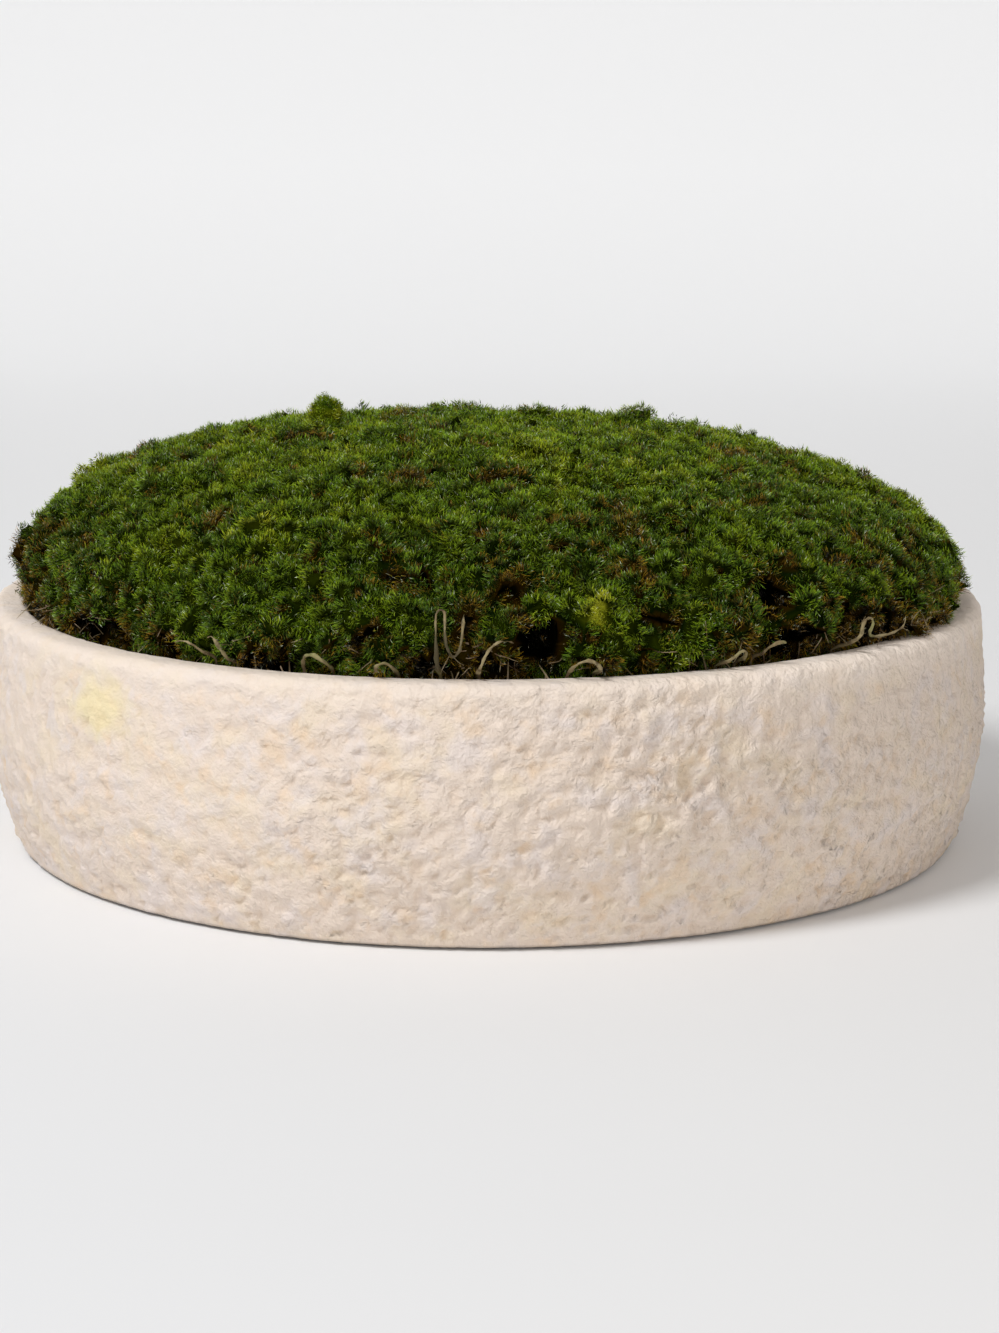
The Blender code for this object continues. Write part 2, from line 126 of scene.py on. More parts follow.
def mixed(tree, share, first, second, blend="MIX"):
    """Colour first changed towards colour second by share."""
    node = add_node(tree, "ShaderNodeMix", data_type="RGBA", blend_type=blend)
    for key, value in ((0, share), (6, first), (7, second)):
        if isinstance(value, bpy.types.NodeSocket):
            tree.links.new(value, node.inputs[key])
        else:
            node.inputs[key].default_value = value if key == 0 else (*value, 1)
    return node.outputs[2]


def bowl_radius(height):
    """Radius of the outside at a height: widest at the belly, a little narrower at the lip and the base."""
    if height < bowl_belly_height:
        share = (bowl_belly_height - height) / bowl_belly_height
        return bowl_belly - (bowl_belly - bowl_base) * share**1.8
    share = (height - bowl_belly_height) / (LIP - bowl_belly_height)
    return bowl_belly - (bowl_belly - bowl_top) * share**2.2


def bowl_relief(point):
    """Height of the hand-worked crust in metres: slow dents, soft lumps and blunt crests between them."""
    slow = point / 0.009
    pull = Vector((noise.noise(slow), noise.noise(slow + Vector((9, 0, 0))), 0))
    pull.z = noise.noise(slow + Vector((0, 9, 0)))
    spot = point + pull * 0.004
    crest = 0.5 - math.sqrt(noise.noise(spot / 0.0062) ** 2 + 0.015) * 1.8
    lumps = 0.0012 * noise.noise(spot / 0.0056) + 0.0025 * noise.noise(spot / 0.0032)
    # The crust is boldest low down and right of the middle, and fades again at the far right.
    patch = (0.80 + 0.4 * noise.noise(point / 0.040)) * (1.25 - 0.45 * point.z / LIP)
    patch *= min(1.12 + 1.8 * point.x, 1.25) - max(0, 4 * (point.x - 0.17))
    # Under the lip at the right the crust is worn smooth.
    worn = min(max((point.x - 0.06) / 0.08, 0), 1) * min(max((point.z - LIP + 0.045) / 0.025, 0), 1)
    patch *= 1 - 0.65 * worn
    return 0.0006 * noise.noise(point / 0.0130) + patch * (lumps + 0.0010 * crest)


def linked_object(name, data, collection=None):
    """An object that holds a mesh, light or camera, in the scene or in a collection of it."""
    made = bpy.data.objects.new(name, data)
    (collection or bpy.context.scene.collection).objects.link(made)
    return made


def make_bowl():
    """The bowl as one closed mesh, with its crust as real relief and its bake map in strips side by side."""
    # The profile runs from the middle of the underside to the middle of the floor inside. Each of its
    # points has a radius, a height and the strength of the crust there.
    wall_top = LIP - lip_outer
    profile = [(bowl_base * share, 0.0, 0.0) for share in (0, 0.5, 0.9)]
    profile.append((bowl_base - foot_inset, 0.0, 0.0))
    for k in range(wall_rows + 1):
        height = foot_height + (wall_top - foot_height) * k / wall_rows
        profile.append((bowl_radius(height), height, min(0.25 + k / 3, 1)))
    middle = bowl_radius(wall_top) - lip_outer
    for k in range(1, lip_rows + 1):
        angle = math.pi / 2 * k / lip_rows
        height = wall_top + lip_outer * math.sin(angle)
        profile.append((middle + lip_outer * math.cos(angle), height, 1 - 0.40 * k / lip_rows))
    for k in range(inner_rows + 1):
        angle = math.pi / 2 * k / inner_rows
        height = LIP - lip_inner * (1 - math.cos(angle))
        profile.append((bowl_mouth + lip_inner * (1 - math.sin(angle)), height, 0.60 * (1 - k / inner_rows)))
    profile += [(bowl_mouth, LIP - 0.02, 0), (bowl_mouth, bowl_floor + inner_corner, 0)]
    profile += [(bowl_mouth - inner_corner, bowl_floor, 0), (0, bowl_floor, 0)]

    points, relief = [], []
    for radius, height, strength in profile[1:-1]:
        for k in range(bowl_sides):
            turn = 2 * math.pi * k / bowl_sides
            out = Vector((math.sin(turn), -math.cos(turn), 0))
            point = out * radius + Vector((0, 0, height))
            rise = bowl_relief(point) * strength if strength else 0
            points.append(point + out * rise)
            relief.append(0.5 + rise / 0.002)
    points += [Vector((0, 0, 0)), Vector((0, 0, bowl_floor))]
    relief += [0.5, 0.5]
    # The smooth underside and inside get little of the bake map.
    lengths = [0.0]
    for first, second in zip(profile, profile[1:]):
        step = math.dist(first[:2], second[:2])
        lengths.append(lengths[-1] + step * (1.0 if second[2] > 0 else 0.22))
    spans = [length / lengths[-1] for length in lengths]
    faces, places = [], []
    per_strip = bowl_sides // bowl_strips
    for k in range(bowl_sides):
        after = (k + 1) % bowl_sides
        strip, across = divmod(k, per_strip)
        left, right = (0.01 + 0.98 * (across + step) / per_strip for step in (0, 1))
        half = (left + right) / 2
        up = [(strip + 0.02 + 0.96 * span) / bowl_strips for span in spans]
        faces.append((len(points) - 2, after, k))
        places.append((half, up[0], right, up[1], left, up[1]))
        for row in range(len(profile) - 3):
            low, high = row * bowl_sides, (row + 1) * bowl_sides
            faces.append((low + k, low + after, high + after, high + k))
            places.append((left, up[row + 1], right, up[row + 1], right, up[row + 2], left, up[row + 2]))
        last = (len(profile) - 3) * bowl_sides
        faces.append((last + k, last + after, len(points) - 1))
        places.append((left, up[-2], right, up[-2], half, up[-1]))
    mesh = bpy.data.meshes.new("stone_bowl")
    mesh.from_pydata(points, [], faces)
    mesh.uv_layers.new(name="OFBake").data.foreach_set("uv", np.concatenate(places))
    mesh.attributes.new("relief", "FLOAT", "POINT").data.foreach_set("value", relief)
    mesh.shade_smooth()
    return linked_object("stone_bowl", mesh)


stone, tree, shader = new_material("cream_stone", (0.80, 0.70, 0.59), 0.93, 0.25)
place = add_node(tree, "ShaderNodeTexCoord").outputs["Object"]
from_left, _, height = add_node(tree, "ShaderNodeSeparateXYZ", {0: place}).outputs
colour = mixed(tree, noise_share(tree, place, 46, 0.48, 0.64, 0.60), cream, straw)
colour = mixed(tree, noise_share(tree, place, 70, 0.50, 0.66, 0.52, shift=3.1), colour, lavender)
colour = mixed(tree, noise_share(tree, place, 84, 0.56, 0.70, 0.52, shift=7.7), colour, orange)
# The yellow stain under the lip has a ragged edge and is a little lower than it is wide.
squat = worked_out(tree, "MULTIPLY", place, (1, 1, 1.35), kind="ShaderNodeVectorMath")
away = add_node(tree, "ShaderNodeVectorMath", {0: squat, 1: (-0.1607, -0.1640, 0.1215)}, operation="DISTANCE")
ragged = noise_share(tree, place, 90, 0.35, 0.65, 0.008, shift=5.0)
far = worked_out(tree, "ADD", away.outputs["Value"], ragged)
colour = mixed(tree, spanned(tree, far, 0.027, 0.014, 0.0, 0.75), colour, stain_yellow)
# Pits in the crust are painted darker: painted shade.
rise = add_node(tree, "ShaderNodeAttribute", attribute_name="relief").outputs["Fac"]
colour = mixed(tree, spanned(tree, rise, 0.50, 0.00, 0.0, 0.50), colour, pit_shade, "MULTIPLY")
# The top of the wall and the lip are painted paler as painted light, most at the right where the key light is
# weak.
right = spanned(tree, from_left, 0.04, 0.16)
most = worked_out(tree, "MULTIPLY_ADD", right, 0.30, 0.55)
lip_painted_light = spanned(tree, height, LIP - 0.016, LIP - 0.002, 0.0, most)
colour = mixed(tree, lip_painted_light, colour, mixed(tree, right, lip_painted_light_left, lip_painted_light_right))
# The bottom 2.6 mm darkens towards the floor: a painted contact shadow.
colour = mixed(tree, spanned(tree, height, 0.0026, 0.0004, 0.0, 0.85), colour, foot_painted_shadow)
tree.links.new(colour, shader.inputs["Base Color"])
grain = {"Vector": place, "Scale": 620.0, "Detail": 2.0}
grain = add_node(tree, "ShaderNodeTexNoise", grain).outputs["Fac"]
wrinkle = {"Vector": place, "Scale": 150.0, "Detail": 3.0, "Roughness": 0.60, "Distortion": 0.25}
wrinkle = add_node(tree, "ShaderNodeTexNoise", wrinkle).outputs["Fac"]
rough = worked_out(tree, "MULTIPLY_ADD", grain, 0.22, wrinkle)
# The finest wrinkles are deeper at the right.
deep = spanned(tree, from_left, -0.20, 0.20, 0.0013, 0.0029)
bump = add_node(tree, "ShaderNodeBump", {"Distance": deep, "Height": rough})
tree.links.new(bump.outputs[0], shader.inputs["Normal"])

bowl = make_bowl()
bowl.data.materials.append(stone)
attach(bowl, "root")
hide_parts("bowl")

# ------------------------------------------------------------------ Soil
# Dark, damp potting soil fills the bowl to 9 mm under the lip and rises as a mound under the moss. Loose
# crumbs of 2 to 4 mm lie in the ring behind the lip, with a few white grains of grit among them.

# How far the soil's edge lies under the lip, and the ring in it for the loose things
soil_drop = 0.0085
soil_level, soil_inner, soil_outer = LIP - 0.0092, 0.1975, 0.2090

earth, tree, shader = new_material("dark_soil", (0.030, 0.020, 0.013), 0.95, 0.3)
place = add_node(tree, "ShaderNodeTexCoord").outputs["Object"]
clods = noise_share(tree, place, 260, 0.35, 0.7, 1.0)
colour = mixed(tree, clods, (0.014, 0.009, 0.006), (0.075, 0.048, 0.030))
tree.links.new(colour, shader.inputs["Base Color"])
crumb = add_node(tree, "ShaderNodeTexNoise", {"Vector": place, "Scale": 500.0, "Detail": 3.0}).outputs["Fac"]
bump = add_node(tree, "ShaderNodeBump", {"Strength": 0.9, "Distance": 0.002, "Height": crumb})
tree.links.new(bump.outputs[0], shader.inputs["Normal"])
for slot in nodes["soil"].material_slots:
    slot.material = earth

white_grit, tree, shader = new_material("white_grit", (0.70, 0.66, 0.60), 0.7)
place = add_node(tree, "ShaderNodeTexCoord").outputs["Object"]
colour = mixed(tree, noise_share(tree, place, 700, 0.35, 0.65, 1.0), (0.78, 0.75, 0.70), (0.45, 0.40, 0.34))
tree.links.new(colour, shader.inputs["Base Color"])


def new_collection(name):
    """A collection for shapes that are only there to be copied."""
    made = bpy.data.collections.new(name)
    bpy.context.scene.collection.children.link(made)
    return made


def read_field(group, name, data_type="FLOAT"):
    """A value that the mesh carries by name."""
    node = add_node(group, "GeometryNodeInputNamedAttribute", {"Name": name}, data_type=data_type)
    return node.outputs[0]


def begin_scatter(name):
    """A geometry node tree with its inputs, and the points spread over the faces that bear something."""
    group = bpy.data.node_groups.new(name, "GeometryNodeTree")
    group.interface.new_socket("Geometry", in_out="INPUT", socket_type="NodeSocketGeometry")
    for label, kind in (
        ("Shapes", "NodeSocketCollection"),
        ("Shape Count", "NodeSocketInt"),
        ("Spacing", "NodeSocketFloat"),
        ("Density", "NodeSocketFloat"),
        ("Smallest", "NodeSocketFloat"),
        ("Largest", "NodeSocketFloat"),
        ("Seed", "NodeSocketInt"),
        ("Material", "NodeSocketMaterial"),
    ):
        group.interface.new_socket(label, in_out="INPUT", socket_type=kind)
    group.interface.new_socket("Geometry", in_out="OUTPUT", socket_type="NodeSocketGeometry")
    given = add_node(group, "NodeGroupInput").outputs
    spread = {"Mesh": given["Geometry"], "Seed": given["Seed"]}
    spread.update({"Distance Min": given["Spacing"], "Density Max": given["Density"]})
    spread["Selection"] = read_field(group, "bears", "BOOLEAN")
    spread["Density Factor"] = read_field(group, "crowd")
    points = add_node(group, "GeometryNodeDistributePointsOnFaces", spread, distribute_method="POISSON")
    return group, given, points.outputs


def set_shapes(group, given, points, facing, lean, grown=None):
    """One of the shapes on each point, turned about at random and leaning up to lean off the facing."""
    facing = add_node(group, "FunctionNodeAlignRotationToVector", {"Vector": facing}, axis="Z").outputs[0]
    turns = {0: (-lean, -lean, -math.pi), 1: (lean, lean, math.pi), "Seed": given["Seed"]}
    turns = add_node(group, "FunctionNodeRandomValue", turns, data_type="FLOAT_VECTOR").outputs[0]
    turns = add_node(group, "FunctionNodeEulerToRotation", {0: turns}).outputs[0]
    turned = {"Rotation": facing, "Rotate By": turns}
    turned = add_node(group, "FunctionNodeRotateRotation", turned, rotation_space="LOCAL").outputs[0]
    size = {2: given["Smallest"], 3: given["Largest"], "Seed": given["Seed"]}
    size = add_node(group, "FunctionNodeRandomValue", size, data_type="FLOAT").outputs[1]
    if grown:
        size = worked_out(group, "MULTIPLY", size, grown)
    last = worked_out(group, "SUBTRACT", given["Shape Count"], 1.0)
    pick = add_node(group, "FunctionNodeRandomValue", {4: 0, 5: last, "Seed": 5}, data_type="INT").outputs[2]
    shapes = {"Collection": given["Shapes"], "Separate Children": True}
    shapes = add_node(group, "GeometryNodeCollectionInfo", shapes)
    placed = {"Points": points, "Instance": shapes.outputs[0], "Pick Instance": True, "Instance Index": pick}
    placed.update({"Rotation": turned, "Scale": size})
    return add_node(group, "GeometryNodeInstanceOnPoints", placed).outputs[0]


def real_mesh(group, given, placed):
    """The placed shapes as plain mesh in the given material."""
    real = add_node(group, "GeometryNodeRealizeInstances", {"Geometry": placed}).outputs[0]
    coated = {"Geometry": real, "Material": given["Material"]}
    return add_node(group, "GeometryNodeSetMaterial", coated).outputs[0]


def grown_mesh(ground, group, values):
    """The plain mesh that the nodes make on the ground's surface. The ground object is removed."""
    change = ground.modifiers.new("scatter", "NODES")
    change.node_group = group
    for item in group.interface.items_tree:
        if item.in_out == "INPUT" and item.name in values:
            change[item.identifier] = values[item.name]
    bpy.context.view_layer.update()
    seen = ground.evaluated_get(bpy.context.evaluated_depsgraph_get())
    mesh = bpy.data.meshes.new_from_object(seen)
    bpy.data.objects.remove(ground, do_unlink=True)
    return mesh


def clear_away(collection):
    """The shapes and their collection go once they have been copied."""
    for shape in list(collection.objects):
        bpy.data.objects.remove(shape, do_unlink=True)
    bpy.data.collections.remove(collection)


def crumb_shape(name, collection, chance):
    """A small uneven crumb, a little flatter than it is wide."""
    work = bmesh.new()
    bmesh.ops.create_icosphere(work, subdivisions=1, radius=0.001)
    for vertex in work.verts:
        vertex.co = vertex.co * chance.uniform(0.6, 1.3)
        vertex.co.z *= 0.75
    mesh = bpy.data.meshes.new(name)
    work.to_mesh(mesh)
    work.free()
    linked_object(name, mesh, collection)


def soil_ring(name, inner, outer, height, sides=180):
    """A flat ring behind the lip for loose things to lie on."""
    points = []
    for k in range(sides):
        turn = 2 * math.pi * k / sides
        for radius in (inner, outer):
            points.append((radius * math.sin(turn), -radius * math.cos(turn), height))
    faces = []
    for k in range(sides):
        after = (k + 1) % sides
        faces.append((2 * k, 2 * k + 1, 2 * after + 1, 2 * after))
    mesh = bpy.data.meshes.new(name)
    mesh.from_pydata(points, [], faces)
    mesh.attributes.new("bears", "BOOLEAN", "FACE").data.foreach_set("value", [True] * len(faces))
    mesh.attributes.new("crowd", "FLOAT", "POINT").data.foreach_set("value", [1.0] * len(points))
    return linked_object(name, mesh)


chance = random.Random(7)
crumb_count = 5
crumbs = new_collection("crumb_shapes")
for k in range(crumb_count):
    crumb_shape(f"crumb_{k}", crumbs, chance)
scatter, given, points = begin_scatter("scattered_crumbs")
placed = set_shapes(scatter, given, points["Points"], points["Normal"], 0.6)
add_node(scatter, "NodeGroupOutput", {0: real_mesh(scatter, given, placed)})
for name, material, spacing, density, small, large, seed in (
    ("soil_crumbs", earth, 0.0026, 160000, 0.8, 2.1, 3),
    ("grit_grains", white_grit, 0.0100, 5500, 0.5, 0.9, 8),
):
    values = {"Shapes": crumbs, "Shape Count": crumb_count, "Spacing": spacing, "Density": density}
    values.update({"Smallest": small, "Largest": large, "Seed": seed, "Material": material})
    ring = soil_ring(name + "_ground", soil_inner, soil_outer, soil_level)
    mesh = grown_mesh(ring, scatter, values)
    mesh.name = name
    piece = linked_object(name, mesh)
    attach(piece, "root")
clear_away(crumbs)

# ------------------------------------------------------------------ Moss
# Cushions of living moss, laid side by side over the mound until they hang over the lip. Each is a mat of
# stalks, painted near black as painted shade, under a crowd of shoots with fine leaves of 1 to 3 mm, which
# bunch into tufts of about
# 11 mm. The colour goes from deep green to yellow-green, with brown dead patches and one bright yellow one.

# Places where the colour departs from its slow clouds: point, radius and tone added. A dead brown patch
# has -1 for its tone.
moss_spots = (
    ((0.0438, -0.2032, 0.1380), 0.0044, 0.95),
    ((0.0437, -0.2086, 0.1318), 0.0046, 1.00),
    ((0.0360, -0.2112, 0.1285), 0.0045, -1),
    ((0.0290, -0.1970, 0.1440), 0.0080, 0.26),
    ((-0.0124, -0.1939, 0.1493), 0.0110, 0.10),
    ((-0.1122, -0.1376, 0.1645), 0.0105, -1),
    ((0.0540, -0.1865, 0.1520), 0.0105, -1),
    ((0.0026, -0.1210, 0.1769), 0.0080, -1),
    ((0.0178, -0.1193, 0.1780), 0.0055, -1),
    ((-0.0320, -0.1170, 0.1795), 0.0115, -1),
    ((-0.1345, -0.0528, 0.1813), 0.0065, -1),
    ((-0.1163, -0.0888, 0.1774), 0.0060, -1),
    ((0.0467, -0.0899, 0.1798), 0.0060, -1),
    ((0.0653, -0.1502, 0.1680), 0.0060, -1),
    ((0.1154, -0.0230, 0.1739), 0.0120, -1),
    ((0.1254, -0.1550, 0.1491), 0.0070, -1),
    ((-0.0600, 0.1700, 0.1550), 0.0100, 0.35),
    ((-0.0742, -0.0140, 0.2000), 0.0160, 0.16),
    ((0.0750, 0.0570, 0.1870), 0.0140, 0.10),
    ((-0.1300, 0.0000, 0.1850), 0.0500, 0.09),
    ((0.1000, -0.1300, 0.1650), 0.0450, 0.07),
    ((-0.0720, -0.2040, 0.1180), 0.0250, 0.08),
    ((-0.2000, -0.0500, 0.1400), 0.0220, -0.16),
    # These two darken the low right side: painted shade, with a browner tone.
    ((0.1500, -0.1500, 0.1200), 0.0450, -0.12),
    ((0.1850, -0.0900, 0.1400), 0.0450, -0.10),
)
# The hollows that show along the front, dipped in and painted near black as painted shade: point and radius
moss_hollows = (
    ((0.0107, -0.2051, 0.1423), 0.0075),
    ((0.0207, -0.2059, 0.1231), 0.0105),
    ((0.0270, -0.2071, 0.1290), 0.0080),
    ((-0.0263, -0.2046, 0.1151), 0.0060),
    ((-0.0183, -0.1940, 0.1505), 0.0055),
    ((-0.0075, -0.2128, 0.1304), 0.0070),
    ((-0.1691, -0.1238, 0.1149), 0.0090),
    ((-0.1553, -0.1321, 0.1147), 0.0080),
    ((-0.1309, -0.1678, 0.1171), 0.0060),
    ((-0.0426, -0.1975, 0.1494), 0.0050),
    ((0.1159, -0.1623, 0.1349), 0.0110),
    ((0.1234, -0.1701, 0.1154), 0.0100),
    ((0.1511, -0.1559, 0.1254), 0.0065),
    ((0.1781, -0.1210, 0.1308), 0.0060),
    ((0.1850, -0.0910, 0.1450), 0.0055),
    ((0.0672, -0.2039, 0.1348), 0.0065),
    ((0.0718, -0.2000, 0.1330), 0.0065),
    ((0.0632, -0.2065, 0.1191), 0.0060),
    ((-0.1985, -0.0460, 0.1500), 0.0040),
    ((-0.1955, -0.0720, 0.1430), 0.0045),
    ((-0.1932, -0.0880, 0.1370), 0.0050),
)
# Tufts that stand up or dip: point, radius, height added, and 1 for the one round crown tuft
moss_knobs = (
    ((-0.0725, -0.0105, 0.1950), 0.0130, 0.0020, 1),
    ((0.0433, -0.2060, 0.1345), 0.0090, 0.0036, 0),
    ((0.0740, 0.0570, 0.1860), 0.0090, 0.0050, 0),
    ((0.0270, 0.0780, 0.1850), 0.0080, 0.0022, 0),
    ((0.2075, -0.0620, 0.1380), 0.0090, 0.0058, 0),
    ((0.2097, -0.0570, 0.1262), 0.0070, -0.0042, 0),
    ((-0.2075, -0.0520, 0.1390), 0.0095, 0.0060, 0),
    ((0.1225, 0.0200, 0.1800), 0.0085, 0.0028, 0),
    ((0.1255, 0.0620, 0.1755), 0.0080, 0.0045, 0),
    ((0.1750, -0.0200, 0.1645), 0.0090, -0.0030, 0),
    ((0.1995, -0.0440, 0.1495), 0.0085, 0.0028, 0),
    ((-0.1572, 0.0230, 0.1740), 0.0100, 0.0032, 0),
    ((-0.1290, 0.0200, 0.1820), 0.0090, 0.0028, 0),
)
# Stretches of the lower edge where dead brown matter shows: turn from the front and reach, in degrees
dead_edges = ((-64, 17), (-2, 8), (56, 20), (130, 15), (-150, 18))
# Leaf colour by tone, its lowest tones near black for the painted shade of hollows, and the painted shade and
# light from a leaf's dark root to its bright tip
moss_tones = (
    (0.00, (0.006, 0.005, 0.003)),
    (0.06, (0.034, 0.032, 0.010)),
    (0.15, (0.420, 0.215, 0.022)),
    (0.25, (0.400, 0.280, 0.018)),
    (0.36, (0.080, 0.190, 0.026)),
    (0.52, (0.200, 0.345, 0.014)),
    (0.70, (0.320, 0.470, 0.016)),
    (0.84, (0.440, 0.540, 0.020)),
    (1.00, (0.570, 0.600, 0.034)),
)
leaf_painted_shade = ((0.00, 0.03), (0.05, 0.05), (0.15, 0.18), (0.45, 0.78), (0.80, 1.52), (1.00, 2.20))
# A faint painted sheen for green leaf tips, and a painted glint for the tips of a few leaves
painted_sheen, painted_glint = (0.50, 0.58, 0.36), (0.80, 0.88, 0.70)
# A leaf's length and width on the bake map, and how far over the map the leaves with a painted glint lie
map_length, map_width, glint_shift = 0.45, 0.003, 0.486
tuft_size, tuft_drift, tuft_relief = 0.0110, 0.0050, 0.0032
# How far low stretches of moss swell out or draw in: turn from the front, reach, both in degrees, and push
edge_swells = ((61, 11, 0.0100), (80, 9, -0.0030), (-58, 12, 0.0040), (-88, 12, -0.0040))


def colour_ramp(tree, value, stops):
    """A colour ramp through the given places and colours."""
    ramp = add_node(tree, "ShaderNodeValToRGB", {0: value})
    marks = ramp.color_ramp.elements
    while len(marks) < len(stops):
        marks.new(0.5)
    for mark, (where, colour) in zip(marks, stops):
        mark.position = where
        mark.color = (*colour, 1)
    return ramp.outputs[0]


moss_colour = bpy.data.node_groups.new("moss_colour", "ShaderNodeTree")
moss_colour.interface.new_socket("Color", in_out="OUTPUT", socket_type="NodeSocketColor")
spot = add_node(moss_colour, "ShaderNodeUVMap", uv_map="OFBake").outputs[0]
parts = add_node(moss_colour, "ShaderNodeSeparateXYZ", {0: spot}).outputs
tone = spanned(moss_colour, parts[1], 0.02, 0.98)
pale = worked_out(moss_colour, "GREATER_THAN", parts[0], 0.485)
along = worked_out(moss_colour, "MULTIPLY_ADD", pale, -glint_shift, parts[0])
along = spanned(moss_colour, along, 0.0, 0.02 + map_length)
# Each leaf is painted dark at its root and bright at its tip: painted shade and light.
shade = colour_ramp(moss_colour, along, [(where, (value,) * 3) for where, value in leaf_painted_shade])
# Yellow leaves are lit through, so they keep less of the shade.
lit = spanned(moss_colour, tone, 0.84, 1.0, 0.0, 0.5)
leafy = spanned(moss_colour, along, 0.05, 0.15)
lit = worked_out(moss_colour, "MULTIPLY", lit, leafy)
shade = mixed(moss_colour, lit, shade, (1.0, 1.0, 1.0))
colour = mixed(moss_colour, 1.0, colour_ramp(moss_colour, tone, moss_tones), shade, "MULTIPLY")
# Green leaf tips get a faint painted sheen.
sheen_share = spanned(moss_colour, along, 0.6, 1.0, 0.0, 0.07)
green = spanned(moss_colour, tone, 0.25, 0.4)
sheen_share = worked_out(moss_colour, "MULTIPLY", sheen_share, green)
colour = mixed(moss_colour, sheen_share, colour, painted_sheen)
# The leaves moved over the map get a pale painted glint at the tip.
tip = spanned(moss_colour, along, 0.35, 0.65)
tip = worked_out(moss_colour, "MULTIPLY", tip, pale)
colour = mixed(moss_colour, tip, colour, painted_glint)
add_node(moss_colour, "NodeGroupOutput", {0: colour})

moss_materials = []
for name, roughness, shine in (("moss_leaf", 0.42, 0.13), ("moss_bed", 1.0, 0.0)):
    made, tree, shader = new_material(name, (0.09, 0.15, 0.02), roughness, shine)
    colour = add_node(tree, "ShaderNodeGroup", node_tree=moss_colour).outputs[0]
    tree.links.new(colour, shader.inputs["Base Color"])
    moss_materials.append(made)
# The bed is painted with the leaves' dark root colours: painted shade.
leaf_green, bed_painted_shade = moss_materials


def shoot_shape(name, collection, chance, leaves):
    """A few shoots together: fine pointed leaves close by each other, the upright ones painted brightest as
    painted light.
    """
    points, faces, along, side, own, pale = [], [], [], [], [], []
    golden_turn = 2.39996
    for k in range(leaves):
        share = (k + 0.5) / leaves
        turn, apart = k * golden_turn, 0.0026 * math.sqrt(chance.random())
        root = Vector((apart * math.sin(turn), -apart * math.cos(turn), -0.0012 + 0.0018 * share))
        lean, turn = math.radians(chance.uniform(0, 68 - 34 * share)), chance.uniform(0, 2 * math.pi)
        out = Vector((math.sin(turn), -math.cos(turn), 0))
        ahead = out * math.sin(lean) + Vector((0, 0, math.cos(lean)))
        across = Vector((math.cos(turn), math.sin(turn), 0))
        across = (across + ahead.cross(across) * chance.uniform(-0.9, 0.9)).normalized()
        length, width = 0.0023 * chance.uniform(0.65, 1.30), 0.00021 * chance.uniform(0.8, 1.25)
        start = len(points)
        points += [root - across * width, root + across * width, root + ahead * length]
        faces.append((start, start + 1, start + 2))
        along += [0, 0, 0.62 + 0.38 * share * chance.uniform(0.7, 1.0)]
        side += [-1.0, 1.0, 0.0]
        own += [chance.uniform(-0.14, 0.14)] * 3
        # About one leaf in twelve is moved over the map to carry a painted glint.
        pale += [glint_shift if chance.random() < 0.08 else 0.0] * 3
    mesh = bpy.data.meshes.new(name)
    mesh.from_pydata(points, [], faces)
    for field, values in (("along", along), ("side", side), ("leaf_tone", own), ("pale", pale)):
        mesh.attributes.new(field, "FLOAT", "POINT").data.foreach_set("value", values)
    linked_object(name, mesh, collection)


